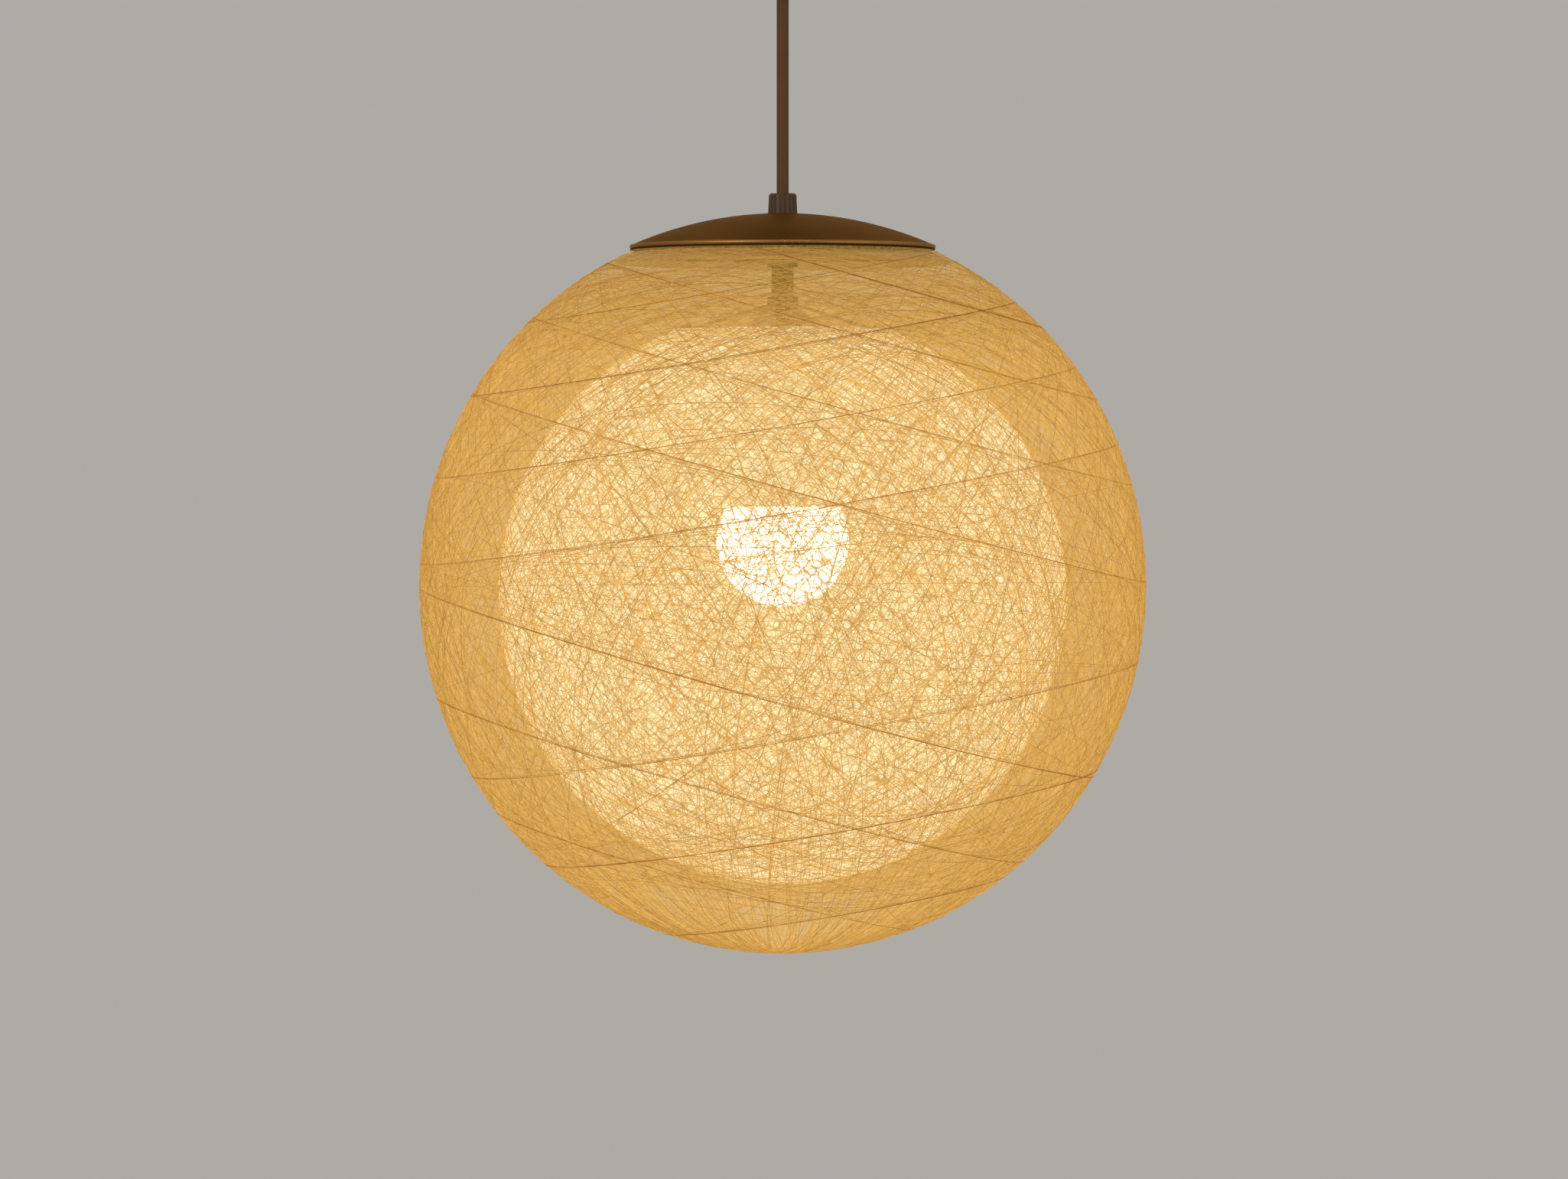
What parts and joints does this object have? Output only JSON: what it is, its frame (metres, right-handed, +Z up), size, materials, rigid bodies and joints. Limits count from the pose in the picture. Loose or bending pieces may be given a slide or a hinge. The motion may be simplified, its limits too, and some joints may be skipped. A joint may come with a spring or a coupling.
{
  "type": "pendant lantern",
  "caption": "Round pendant lantern: a thread-wound globe inside a larger one, lit by a bulb, with a shallow metal cap, a cord and a ceiling cup.",
  "frame": {"origin": "middle of the ceiling bracket's back face, on the ceiling", "axes": "+Z up into the ceiling, +X along the bracket between its two ears, the lantern hangs along -Z"},
  "size_m": [0.33, 0.33, 0.4863],
  "materials": {
    "bracket_steel": "zinc-plated strip",
    "cup_finish": "satin bronze lacquer",
    "screw_steel": "plated screws and rivets",
    "nut_steel": "plated nuts and washer",
    "grip_plastic": "moulded, fluted",
    "block_plastic": "natural moulded",
    "brass": "turned or pressed",
    "cord_sheath": "smooth round sheath",
    "live_insulation": "brown insulation",
    "neutral_insulation": "blue insulation",
    "dome_metal": "satin bronze lacquer on spun sheet",
    "bead_metal": "polished rolled edge",
    "felt": "dark pressed felt",
    "stem_steel": "threaded tube",
    "gallery_steel": "pressed sheet",
    "outer_thread": "wound and glued thread",
    "inner_thread": "wound and glued thread",
    "holder_plastic": "moulded",
    "holder_ceramic": "fired insert",
    "bulb_nickel": "nickel-plated shell",
    "bulb_black": "black insulator",
    "bulb_white": "white moulded housing",
    "bulb_glow": "opal diffuser, lit",
    "sink_aluminium": "pressed",
    "board_white": "white-coated board",
    "chip_yellow": "phosphor",
    "driver_green": "circuit board",
    "driver_black": "components"
  },
  "bodies": {
    "ceiling_fitting": {"ceiling_bracket": "bracket_steel", "ceiling_cup": "cup_finish", "cup_screws": "screw_steel", "ceiling_grip": "grip_plastic", "ceiling_grip_nut": "nut_steel", "ceiling_grip_screw": "screw_steel", "terminal_block": "block_plastic", "terminal_tubes": "brass", "terminal_screws": "screw_steel", "block_screw": "screw_steel", "cord_tail": "cord_sheath", "live_conductor": "live_insulation", "neutral_conductor": "neutral_insulation"},
    "cord_joint": {"cord_bend": "cord_sheath"},
    "cord": {"supply_cord": "cord_sheath"},
    "lamp": {"stem": "stem_steel", "cord_gland": "brass", "gland_screw": "screw_steel", "gallery_washer": "nut_steel", "gallery_top_nut": "nut_steel", "gallery_bottom_nut": "nut_steel", "inner_gallery_nut": "nut_steel", "outer_gallery": "gallery_steel", "outer_rim_ring": "gallery_steel", "outer_rim_rivets": "screw_steel", "outer_globe": "outer_thread", "inner_gallery": "gallery_steel", "inner_rim_ring": "gallery_steel", "inner_rim_rivets": "screw_steel", "inner_globe": "inner_thread", "holder_cap": "holder_plastic", "holder_body": "holder_plastic", "holder_insert": "holder_ceramic", "holder_shell": "brass", "holder_grub_screw": "screw_steel", "centre_contact": "brass", "live_terminal": "brass", "neutral_terminal": "brass", "stem_live_conductor": "live_insulation", "stem_neutral_conductor": "neutral_insulation"},
    "cap": {"cap_dome": "dome_metal", "cap_bead": "bead_metal", "cap_felt": "felt", "cap_grip": "grip_plastic", "cap_grip_nut": "nut_steel", "cap_grip_screw": "screw_steel"},
    "bulb": {"bulb_tip": "bulb_nickel", "bulb_insulator": "bulb_black", "bulb_shell": "bulb_nickel", "bulb_housing": "bulb_white", "bulb_diffuser": "bulb_glow", "heat_sink": "sink_aluminium", "led_board": "board_white", "led_chips": "chip_yellow", "driver_board": "driver_green", "driver_parts": "driver_black"}
  },
  "joints": [
    {"name": "sway_side", "type": "hinge", "parent": "ceiling_fitting", "child": "cord_joint", "pos_m": [0, 0, -0.04], "axis": [0, 1, 0], "range_deg": [-15, 15]},
    {"name": "sway_front", "type": "hinge", "parent": "cord_joint", "child": "cord", "pos_m": [0, 0, -0.04], "axis": [1, 0, 0], "range_deg": [-15, 15]},
    {"name": "cord_twist", "type": "hinge", "parent": "cord", "child": "lamp", "pos_m": [0, 0, -0.162], "axis": [0, 0, 1], "range_deg": [-180, 180]},
    {"name": "cap_lift", "type": "slide", "parent": "lamp", "child": "cap", "axis": [0, 0, 1], "range_m": [0, 0.06]},
    {"name": "bulb_turn", "type": "hinge", "parent": "lamp", "child": "bulb", "pos_m": [0, 0, -0.229], "axis": [0, 0, 1], "range_deg": [0, 1080]}
  ]
}
